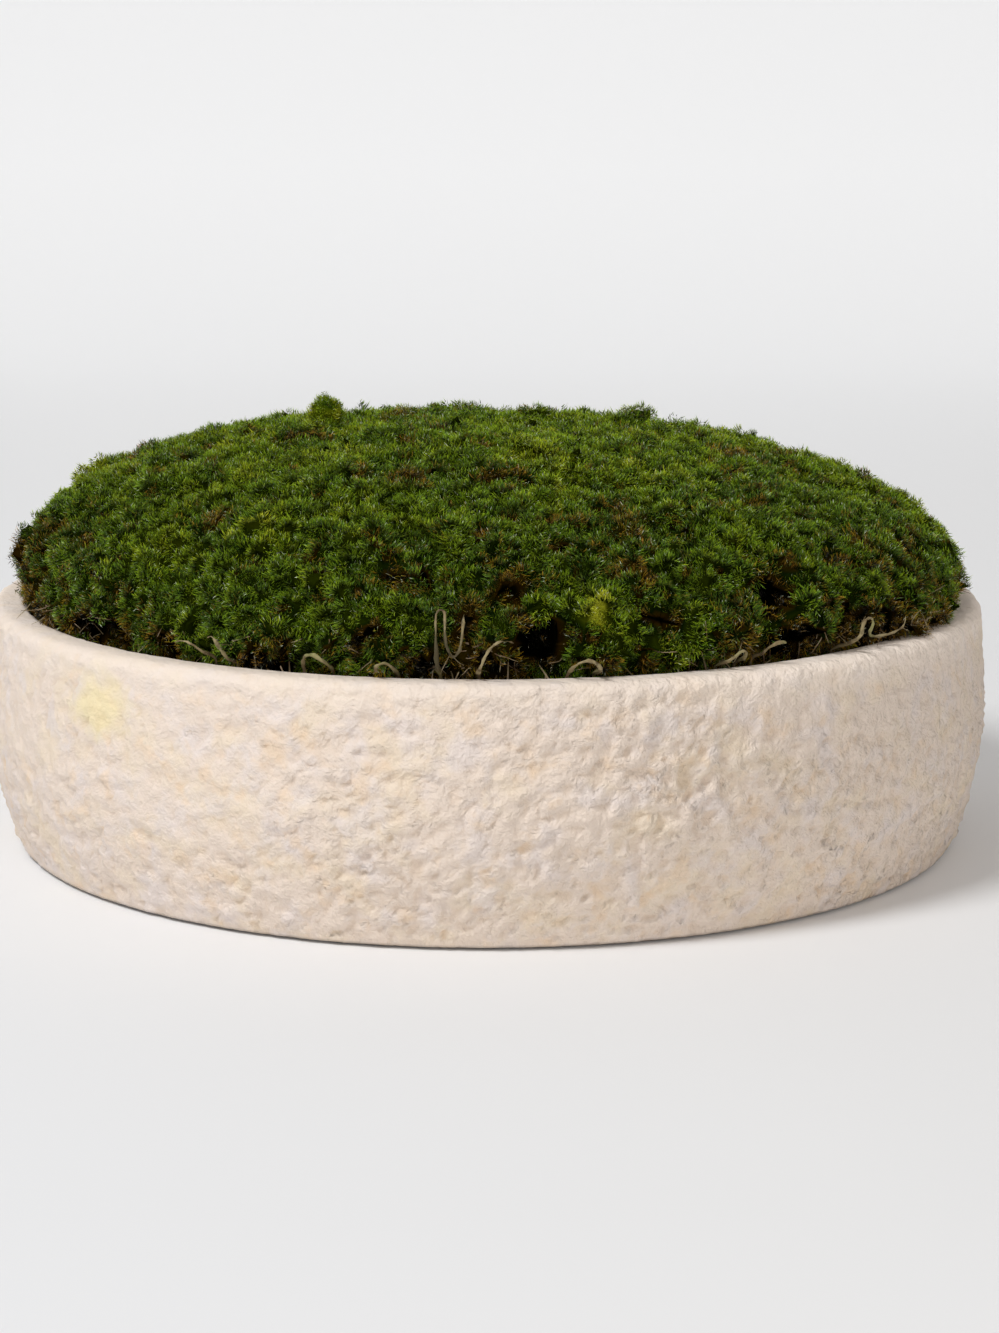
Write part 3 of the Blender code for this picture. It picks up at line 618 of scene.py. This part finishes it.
def moss_tree():
    """Shoots in rounded tufts, then each leaf's place on the bake map: its length across, its tone upward."""
    group, given, points = begin_scatter("moss_shoots")
    place = add_node(group, "GeometryNodeInputPosition").outputs[0]
    drift = {"Vector": place, "Scale": 95.0, "Detail": 1.0}
    drift = add_node(group, "ShaderNodeTexNoise", drift).outputs["Color"]
    drift = worked_out(group, "ADD", drift, (-0.5,) * 3, kind="ShaderNodeVectorMath")
    spot = worked_out(group, "MULTIPLY_ADD", drift, (tuft_drift,) * 3, place, kind="ShaderNodeVectorMath")
    cells = {"Vector": spot, "Scale": 1 / tuft_size}
    cell = add_node(group, "ShaderNodeTexVoronoi", cells).outputs
    inward = add_node(group, "ShaderNodeTexVoronoi", cells, feature="DISTANCE_TO_EDGE").outputs["Distance"]
    rise = worked_out(group, "POWER", spanned(group, inward, 0.0, 0.26), 0.7)
    whole = read_field(group, "whole")
    rise = worked_out(group, "MAXIMUM", rise, whole)
    own = {2: -0.20, 3: 0.0, "Seed": 11}
    own = add_node(group, "FunctionNodeRandomValue", own, data_type="FLOAT").outputs[1]
    own = worked_out(group, "MULTIPLY_ADD", cell["Color"], 0.20, own)
    marked = points["Points"]
    for name, value in (("rise", rise), ("own_tone", own)):
        stored = {"Geometry": marked, "Name": name, "Value": value}
        stored = add_node(group, "GeometryNodeStoreNamedAttribute", stored, data_type="FLOAT", domain="POINT")
        marked = stored.outputs[0]
    # The shoots lean away from their tuft's middle and a little upward, and stand highest in the middle.
    aside = worked_out(group, "SUBTRACT", spot, cell["Position"], kind="ShaderNodeVectorMath")
    facing = (aside, (1.1 / tuft_size,) * 3, points["Normal"])
    facing = worked_out(group, "MULTIPLY_ADD", *facing, kind="ShaderNodeVectorMath")
    facing = worked_out(group, "ADD", facing, (0, 0, 0.35), kind="ShaderNodeVectorMath")
    most = spanned(group, whole, 0.0, 1.0, tuft_relief, 0.0)
    lift = {0: points["Normal"], "Scale": worked_out(group, "MULTIPLY", read_field(group, "rise"), most)}
    lift = add_node(group, "ShaderNodeVectorMath", lift, operation="SCALE").outputs[0]
    raised = add_node(group, "GeometryNodeSetPosition", {"Geometry": marked, "Offset": lift}).outputs[0]
    grown = spanned(group, read_field(group, "rise"), 0.0, 1.0, 0.75, 1.10)
    short = spanned(group, whole, 0.0, 1.0, 1.0, 0.75)
    grown = worked_out(group, "MULTIPLY", grown, short)
    placed = set_shapes(group, given, raised, facing, 0.42, grown)
    both = add_node(group, "GeometryNodeJoinGeometry")
    group.links.new(given["Geometry"], both.inputs[0])
    group.links.new(real_mesh(group, given, placed), both.inputs[0])
    tone = read_field(group, "tone")
    for name in ("own_tone", "leaf_tone"):
        tone = worked_out(group, "ADD", tone, read_field(group, name))
    up = spanned(group, tone, 0.0, 1.0, 0.025, 0.975)
    up = worked_out(group, "MULTIPLY_ADD", read_field(group, "side"), map_width, up)
    # Low in a crease the leaves keep the dark colours of their roots: painted shade.
    crease_shade = spanned(group, read_field(group, "rise"), 0.0, 0.6, 0.30 * map_length, map_length)
    across = (read_field(group, "along"), crease_shade, read_field(group, "pale"))
    across = worked_out(group, "ADD", worked_out(group, "MULTIPLY_ADD", *across), 0.02)
    spot = add_node(group, "ShaderNodeCombineXYZ", {0: across, 1: up}).outputs[0]
    mapped = {"Geometry": both.outputs[0], "Name": "OFBake", "Value": spot}
    mapped = add_node(group, "GeometryNodeStoreNamedAttribute", mapped, data_type="FLOAT2", domain="CORNER")
    add_node(group, "NodeGroupOutput", {0: mapped.outputs[0]})
    return group


def nearness(point, middle, radius, power=2, reach=math.inf):
    """From 1 at the middle of a spot down to 0 well outside it. Its reach is counted in radii."""
    away = (point - Vector(middle)).length / radius
    return math.exp(-(away**power)) if away < reach else 0.0


def moss_hollow(point):
    """How much of a hollow this is, from 0 to 1, dipped in and painted near black as painted shade: the seen
    ones, then others by noise, low down most.
    """
    share = 0.0
    for middle, radius in moss_hollows:
        share = max(share, nearness(point, middle, radius, reach=2.5))
    low = max(0, 1 - abs(point.z - LIP - 0.006) / 0.016)
    low *= 0.5 + noise.noise(point / 0.030) + 1.5 * max(0, point.x - 0.05)
    high = min((point.z - LIP) / 0.07, 1) ** 2
    often = 0.28 + 0.27 * high - 0.26 * low
    share = max(share, 3.6 * (noise.noise(point / 0.0095 + Vector((0, 4, 8))) - often))
    for middle, radius, added in moss_spots:
        if added > 0.09:
            share -= nearness(point, middle, radius, reach=2.5)
    return min(max(share, 0), 1)


def whole_tuft(point):
    """How far this is part of a tuft that is a round ball by itself, from 0 to 1."""
    return max(round_one * nearness(point, middle, radius, 4) for middle, radius, _, round_one in moss_knobs)


def bed_painted_light(point):
    """Where the bed is painted lighter as painted light, from 0 to 1: on the round crown tuft and on the
    yellow patch.
    """
    share = whole_tuft(point)
    for middle, radius, added in moss_spots:
        if added > 0.5:
            share = max(share, nearness(point, middle, radius))
    return share


def dead_share(point):
    """How much of a dead brown edge this is, from 0 to 1, just over the lip."""
    turn = math.degrees(math.atan2(point.x, -point.y))
    along = max(math.exp(-(((turn - middle) / reach) ** 2)) for middle, reach in dead_edges)
    low = 1 - (point.z - LIP) / 0.020 + 0.9 * noise.noise(point / 0.012 + Vector((7, 1, 0)))
    return along * min(max(low, 0), 1)


def moss_tone(point, lift, hollow):
    """The moss's tone here, from 0 for near black over browns and greens to 1 for yellow."""
    tone = 0.56 + 0.24 * noise.noise(point / 0.060)
    tone += 0.20 * noise.noise(point / 0.019 + Vector((5, 0, 0)))
    tone += 0.30 * noise.noise(point / 0.0065 + Vector((2, 6, 0)))
    tone -= 2.4 * max(0, noise.noise(point / 0.010 + Vector((0, 8, 2))) - 0.30)
    # Lump tops are painted lighter and the valleys between them darker: painted light and shade.
    tone += 16 * lift
    above = point.z - LIP
    tone = min(tone + 0.10 * min(above / 0.07, 1) - 0.05, 0.80)
    tone -= max(0, 0.04 + 0.8 * noise.noise(point / 0.026)) * max(0, 1 - above / 0.020)
    fleck = noise.noise(point / 0.005)
    for middle, radius, added in moss_spots:
        near = nearness(point, middle, radius, reach=3)
        if added > -1:
            tone += added * near
        else:
            tone += (0.17 + 0.12 * fleck - tone) * min(1.2 * near, 1)
    tone = max(tone, 0.13 * min(above / 0.035, 1))
    tone += (0.095 + 0.13 * fleck - tone) * 0.75 * dead_share(point)
    # Hollows are painted near black: painted shade.
    return tone + (-0.22 - tone) * min(max(4 * hollow - 1.2, 0), 1)


def off_mound(point):
    """Distance from the soil mound, part of a ball that leans a little to the left with the dome."""
    radius, height = 0.1995, 0.0700
    shift, shift_height, tilt, tilt_reach = 0.0030, 0.0105, 0.098, 0.217
    ball = (radius**2 + height**2) / (2 * height)
    above = point.z - LIP
    place = point.copy()
    if above > 0:
        place.x -= shift * min(above / shift_height, 1)
        place.z = LIP + above / (1 - tilt * place.x / tilt_reach)
    return (place - Vector((0, 0, LIP - soil_drop + height - ball))).length - ball


def moss_ground(node, chance):
    """The cushion's solid with rounder, finer lumps and half-closed clefts, and its fields for the nodes."""
    mesh = nodes[node].data.copy()
    work = bmesh.new()
    work.from_mesh(mesh)
    bmesh.ops.remove_doubles(work, verts=work.verts, dist=1e-6)
    under = {vertex for vertex in work.verts if abs(off_mound(vertex.co)) < 0.0006}
    top = work.faces.layers.int.new("top")
    for face in work.faces:
        face[top] = not any(vertex in under for vertex in face.verts)
    work.normal_update()
    lift = work.verts.layers.float.new("lift")
    moved = {}
    for vertex in work.verts:
        tops = [face for face in vertex.link_faces if face[top]]
        if not tops:
            continue
        sides = [face for face in vertex.link_faces if not face[top]]
        out = sum((face.normal for face in tops), Vector()).normalized()
        if sides:
            # The rim leans over the cleft, so that the shoots of two cushions meet.
            aside = sum((face.normal for face in sides), Vector()).normalized()
            moved[vertex] = vertex.co + aside * 0.0012 + out * 0.0016
        else:
            around = sum((edge.other_vert(vertex).co for edge in vertex.link_edges), Vector())
            vertex[lift] = (vertex.co - around / len(vertex.link_edges)).dot(out)
    for vertex, place in moved.items():
        vertex.co = place
    edges = [edge for edge in work.edges if any(face[top] for face in edge.link_faces)]
    bmesh.ops.subdivide_edges(work, edges=edges, cuts=1, use_grid_fill=True)
    bmesh.ops.triangulate(work, faces=work.faces)
    free = [vertex for vertex in work.verts if all(face[top] for face in vertex.link_faces)]
    for vertex in free:
        # Low down the moss swells out, and at both sides it hangs over the lip, most at the right.
        turn = math.degrees(math.atan2(vertex.co.x, -vertex.co.y))
        swell = 0.0025
        for middle, reach, push in edge_swells:
            swell += push * math.exp(-(((turn - middle) / reach) ** 2))
        swell *= max(1 - abs(vertex.co.z - LIP - 0.003) / 0.010, 0)
        sag = min(0.5 * max(swell - 0.003, 0), max(vertex.co.z - LIP - 0.001, 0))
        vertex.co += Vector((vertex.co.x, vertex.co.y, 0)).normalized() * swell - Vector((0, 0, sag))
    all_ways = {"use_axis_x": True, "use_axis_y": True, "use_axis_z": True}
    bmesh.ops.smooth_vert(work, verts=free, factor=0.25, **all_ways)
    work.normal_update()
    moved = []
    for vertex in free:
        fine = 0.0034 * noise.noise(vertex.co / 0.0060) + 0.0022 * noise.noise(vertex.co / 0.0038)
        fine += 0.0034 * noise.noise(vertex.co / 0.0130)
        fine *= 1 - 0.9 * whole_tuft(vertex.co)
        raised = fine - 0.0034 - 0.0050 * moss_hollow(vertex.co)
        for middle, radius, height, _ in moss_knobs:
            raised += height * nearness(vertex.co, middle, radius)
        moved.append((vertex, vertex.co + vertex.normal * raised, fine))
    for vertex, place, fine in moved:
        vertex.co = place
        vertex[lift] = vertex[lift] * 0.5 + fine
    hollows = [moss_hollow(vertex.co) for vertex in work.verts]
    wholes = [whole_tuft(vertex.co) for vertex in work.verts]
    greens = [bed_painted_light(vertex.co) for vertex in work.verts]
    # Tone is the colour, crowd is how closely the shoots stand, and whole marks the round tuft. The other
    # three give the bed its own places on the bake map, as the leaves have theirs: at the leaves' dark roots,
    # painted shade, but painted lighter on the crown tuft and the yellow patch.
    fields = {
        "tone": [moss_tone(vertex.co, vertex[lift], hollow) for vertex, hollow in zip(work.verts, hollows)],
        "crowd": [max(1 - 1.4 * hollow, 0) * (0.78 + 0.22 * green) for hollow, green in zip(hollows, greens)],
        "whole": wholes,
        "rise": [0.0] * len(work.verts),
        "along": [chance.uniform(-0.04, -0.005) + 0.48 * green for green in greens],
        "side": [chance.uniform(-1, 1) for _ in work.verts],
    }
    bears = [bool(face[top]) for face in work.faces]
    work.verts.layers.float.remove(lift)
    work.to_mesh(mesh)
    work.free()
    mesh.attributes.new("bears", "BOOLEAN", "FACE").data.foreach_set("value", bears)
    for name, values in fields.items():
        mesh.attributes.new(name, "FLOAT", "POINT").data.foreach_set("value", values)
    mesh.materials.clear()
    mesh.materials.append(bed_painted_shade)
    return linked_object(node + "_ground", mesh)


chance = random.Random(23)
shoot_count, leaves_each = 8, 25
shoots = new_collection("shoot_shapes")
for k in range(shoot_count):
    shoot_shape(f"shoot_{k}", shoots, chance, leaves_each)
moss_nodes = moss_tree()
# Points low on the outside of the moss, where the dry threads start
low_points = []
for seed, node in enumerate(sorted(name for name in nodes if name.startswith("moss_"))):
    values = {"Shapes": shoots, "Shape Count": shoot_count, "Spacing": 0.00142, "Density": 330000.0}
    values.update({"Smallest": 0.75, "Largest": 1.18, "Seed": 40 + seed, "Material": leaf_green})
    ground = moss_ground(node, chance)
    for face in ground.data.polygons:
        if face.center.z < LIP + 0.014 and face.normal.z < 0.5 and math.hypot(*face.center[:2]) > 0.2:
            low_points.append((face.center.copy(), face.normal.copy()))
    mesh = grown_mesh(ground, moss_nodes, values)
    mesh.name = node + "_shoots"
    mesh.shade_flat()
    cushion = linked_object(node + "_shoots", mesh)
    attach(cushion, "root")
    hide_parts(node)
clear_away(shoots)

# ------------------------------------------------------------------ Dry stems
# Ten pale, dead stems about 1.6 mm thick stand in the soil along the front and curl up over the lip. They
# are tan with darker joints, slightly knobbly, and one end or both ends are rooted in the soil.

dry_stem, tree, shader = new_material("dry_stem", (0.33, 0.24, 0.13), 0.75, 0.3)
stem_tan, stem_brown = (0.39, 0.330, 0.175), (0.18, 0.130, 0.062)
joint_dark, algae_green = (0.06, 0.038, 0.02), (0.25, 0.27, 0.09)
low_painted_shade, leg_painted_shade = (0.10, 0.068, 0.034), (0.045, 0.034, 0.016)
place = add_node(tree, "ShaderNodeTexCoord").outputs["Object"]
colour = mixed(tree, noise_share(tree, place, 180, 0.35, 0.65, 1.0), stem_tan, stem_brown)
colour = mixed(tree, noise_share(tree, place, 420, 0.50, 0.68, 0.8, shift=2.0), colour, joint_dark)
colour = mixed(tree, noise_share(tree, place, 70, 0.50, 0.62, 0.6, shift=4.0), colour, algae_green)
height = add_node(tree, "ShaderNodeSeparateXYZ", {0: place}).outputs[2]
# Low down, near the soil, the stems are painted darker: painted shade.
colour = mixed(tree, spanned(tree, height, LIP - 0.004, LIP + 0.009, 0.8, 0.0), colour, low_painted_shade)
# The outer leg of the loop in the middle is painted near black: painted shade.
leg = add_node(tree, "ShaderNodeVectorMath", {0: place, 1: (-0.0195, -0.2225, 0.1215)}, operation="DISTANCE")
colour = mixed(tree, spanned(tree, leg.outputs["Value"], 0.008, 0.015, 0.85, 0.0), colour, leg_painted_shade)
tree.links.new(colour, shader.inputs["Base Color"])
streak = add_node(tree, "ShaderNodeTexNoise", {"Vector": place, "Scale": 1500.0}).outputs["Fac"]
bump = add_node(tree, "ShaderNodeBump", {"Strength": 0.5, "Distance": 0.0003, "Height": streak})
tree.links.new(bump.outputs[0], shader.inputs["Normal"])

for node in sorted(name for name in nodes if name.startswith("root_")):
    mesh = nodes[node].data.copy()
    mesh.name = node + "_stem"
    work = bmesh.new()
    work.from_mesh(mesh)
    bmesh.ops.remove_doubles(work, verts=work.verts, dist=1e-6)
    bmesh.ops.subdivide_edges(work, edges=work.edges, cuts=1, smooth=0.6, use_grid_fill=True)
    bmesh.ops.triangulate(work, faces=work.faces)
    work.normal_update()
    for vertex in work.verts:
        knots = 0.0007 * noise.noise(vertex.co / 0.0034) + 0.0004 * noise.noise(vertex.co / 0.0014)
        vertex.co = vertex.co + vertex.normal * (knots - 0.0002)
    for face in work.faces:
        face.smooth = True
    work.to_mesh(mesh)
    work.free()
    mesh.materials.clear()
    mesh.materials.append(dry_stem)
    stem = linked_object(node + "_stem", mesh)
    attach(stem, "root")
    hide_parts(node)

# ------------------------------------------------------------------ Dry threads
# Fine dead threads, 6 to 14 mm long and about half a millimetre thick, hang out of the moss just over the
# soil, most of all where its edge is dead. 34 bits of root, about a millimetre thick and up to 17 mm long,
# curl up out of the soil behind the lip. All are bleached or brown.

thread_tan, tree, shader = new_material("thread_tan", (0.30, 0.22, 0.12), 0.8, 0.3)
place = add_node(tree, "ShaderNodeTexCoord").outputs["Object"]
colour = mixed(tree, noise_share(tree, place, 90, 0.40, 0.60, 1.0), (0.13, 0.075, 0.035), (0.30, 0.25, 0.14))
colour = mixed(tree, noise_share(tree, place, 140, 0.50, 0.66, 0.8, shift=6.0), colour, (0.46, 0.35, 0.24))
tree.links.new(colour, shader.inputs["Base Color"])


def add_thread(points, faces, start, heading, length, chance, thick=0.00028):
    """A curved, tapering thread with three sides, closed at both ends."""
    steps = 6
    bend = Vector((chance.uniform(-1, 1), chance.uniform(-1, 1), chance.uniform(-0.6, 0.9))) * 0.42
    place, first = start.copy(), len(points)
    for k in range(steps + 1):
        heading = (heading + bend * (1 if k < 3 else chance.uniform(-0.5, 1))).normalized()
        side = heading.cross(Vector((0.31, 0.23, 0.92))).normalized()
        other = heading.cross(side)
        radius = thick * (1.15 - 0.75 * k / steps)
        for corner in range(3):
            angle = 2 * math.pi * corner / 3
            points.append(place + (side * math.cos(angle) + other * math.sin(angle)) * radius)
        place = place + heading * length / steps
    for k in range(steps):
        for corner in range(3):
            low, after = first + 3 * k, (corner + 1) % 3
            faces.append((low + corner, low + after, low + 3 + after, low + 3 + corner))
    faces.append((first + 2, first + 1, first))
    last = first + 3 * steps
    faces.append((last, last + 1, last + 2))


chance = random.Random(77)
thread_count, first_in_tangles, root_bit_count = 640, 421, 34
points, faces = [], []
low_points.sort(key=lambda found: tuple(found[0]))
for k in range(thread_count):
    start, normal = low_points[chance.randrange(len(low_points))]
    # The last third hang only in tangles, on the stretches where the moss's edge is dead.
    while k >= first_in_tangles and dead_share(start) < 0.55:
        start, normal = low_points[chance.randrange(len(low_points))]
    stray = Vector((chance.uniform(-0.8, 0.8), chance.uniform(-0.8, 0.8), chance.uniform(-1.0, 0.5)))
    heading = (normal + stray).normalized()
    add_thread(points, faces, start - normal * 0.002, heading, chance.uniform(0.006, 0.014), chance)
# The bits of root stand along the front only.
for _ in range(root_bit_count):
    turn = chance.uniform(-0.62, 0.62)
    out = Vector((math.sin(turn), -math.cos(turn), 0))
    start = out * chance.uniform(0.2055, 0.2085) + Vector((0, 0, LIP - soil_drop))
    stray = Vector((chance.uniform(-1, 1), 0, chance.uniform(0.6, 1.3)))
    heading = (stray + out * chance.uniform(-0.3, 0.2)).normalized()
    add_thread(points, faces, start, heading, chance.uniform(0.010, 0.017), chance, 0.00060)
mesh = bpy.data.meshes.new("dry_threads")
mesh.from_pydata(points, [], faces)
work = bmesh.new()
work.from_mesh(mesh)
bmesh.ops.recalc_face_normals(work, faces=work.faces)
work.to_mesh(mesh)
work.free()
mesh.shade_smooth()
mesh.materials.append(thread_tan)
threads = linked_object("dry_threads", mesh)
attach(threads, "root")

# ------------------------------------------------------------------ Stage, light and camera
# A plain pale sweep, a large soft light from the left front, a weak warm one low in front, an even fill all
# round, and a camera at the photograph's height and angle.

paper_white, paper_painted_shade = (0.82, 0.83, 0.845), (0.75, 0.765, 0.79)
paper, tree, shader = new_material("pale_paper", paper_white, 1.0, 0.0)
place = add_node(tree, "ShaderNodeTexCoord").outputs["Object"]
beside, depth, _ = add_node(tree, "ShaderNodeSeparateXYZ", {0: place}).outputs
# Far back the paper glows, so that the backdrop is as pale as the floor.
glow = spanned(tree, depth, -0.5, 3.0)
colour = mixed(tree, glow, (0.0, 0.0, 0.0), (0.40, 0.405, 0.41))
tree.links.new(colour, shader.inputs["Emission Color"])
shader.inputs["Emission Strength"].default_value = 1.0
# To the left and front the paper is painted darker and cooler: painted shade that evens out the key light's
# pool.
beside = worked_out(tree, "MULTIPLY_ADD", depth, 0.25, beside)
colour = mixed(tree, spanned(tree, beside, -0.45, 0.0), paper_painted_shade, paper_white)
tree.links.new(colour, shader.inputs["Base Color"])
profile = [(-4.0, 0.0), (2.2, 0.0)]
for k in range(1, 25):
    angle = math.pi / 2 * k / 24
    profile.append((2.2 + 1.6 * math.sin(angle), 1.6 * (1 - math.cos(angle))))
profile.append((3.8, 5.0))
points = [(x, y, z) for y, z in profile for x in (-5.0, 5.0)]
faces = [(2 * k, 2 * k + 1, 2 * k + 3, 2 * k + 2) for k in range(len(profile) - 1)]
mesh = bpy.data.meshes.new("sweep")
mesh.from_pydata(points, [], faces)
mesh.shade_smooth()
mesh.materials.append(paper)
sweep = linked_object("sweep", mesh)


def soft_lamp(name, size, energy, colour, place):
    """A round soft lamp that looks at the bowl."""
    light = bpy.data.lights.new(name, "AREA")
    light.shape = "DISK"
    light.size = size
    light.energy = energy
    light.color = colour
    lamp = linked_object(name, light)
    lamp.location = place
    lamp.rotation_euler = (Vector((0, 0, 0.08)) - lamp.location).to_track_quat("-Z", "Y").to_euler()


soft_lamp("key", 0.8, 41, (1.0, 1.0, 1.0), (-1.20, -1.10, 2.05))
soft_lamp("soft", 1.4, 10, (1.0, 0.92, 0.84), (0.60, -2.10, 0.45))

world = bpy.data.worlds.new("fill")
world.use_nodes = True
sky = world.node_tree.nodes["Background"]
sky.inputs["Color"].default_value = (1.0, 0.955, 0.91, 1)
sky.inputs["Strength"].default_value = 0.335
bpy.context.scene.world = world
bpy.context.scene.view_settings.view_transform = "Standard"

lens = bpy.data.cameras.new("camera")
lens.lens = 80.7
lens.sensor_width = 36
lens.shift_x = 0.0102
camera = linked_object("camera", lens)
camera.location = (0, -1.3736, 0.3443)
camera.rotation_euler = (Vector((0, 0, 0.0738)) - camera.location).to_track_quat("-Z", "Y").to_euler()
bpy.context.scene.camera = camera
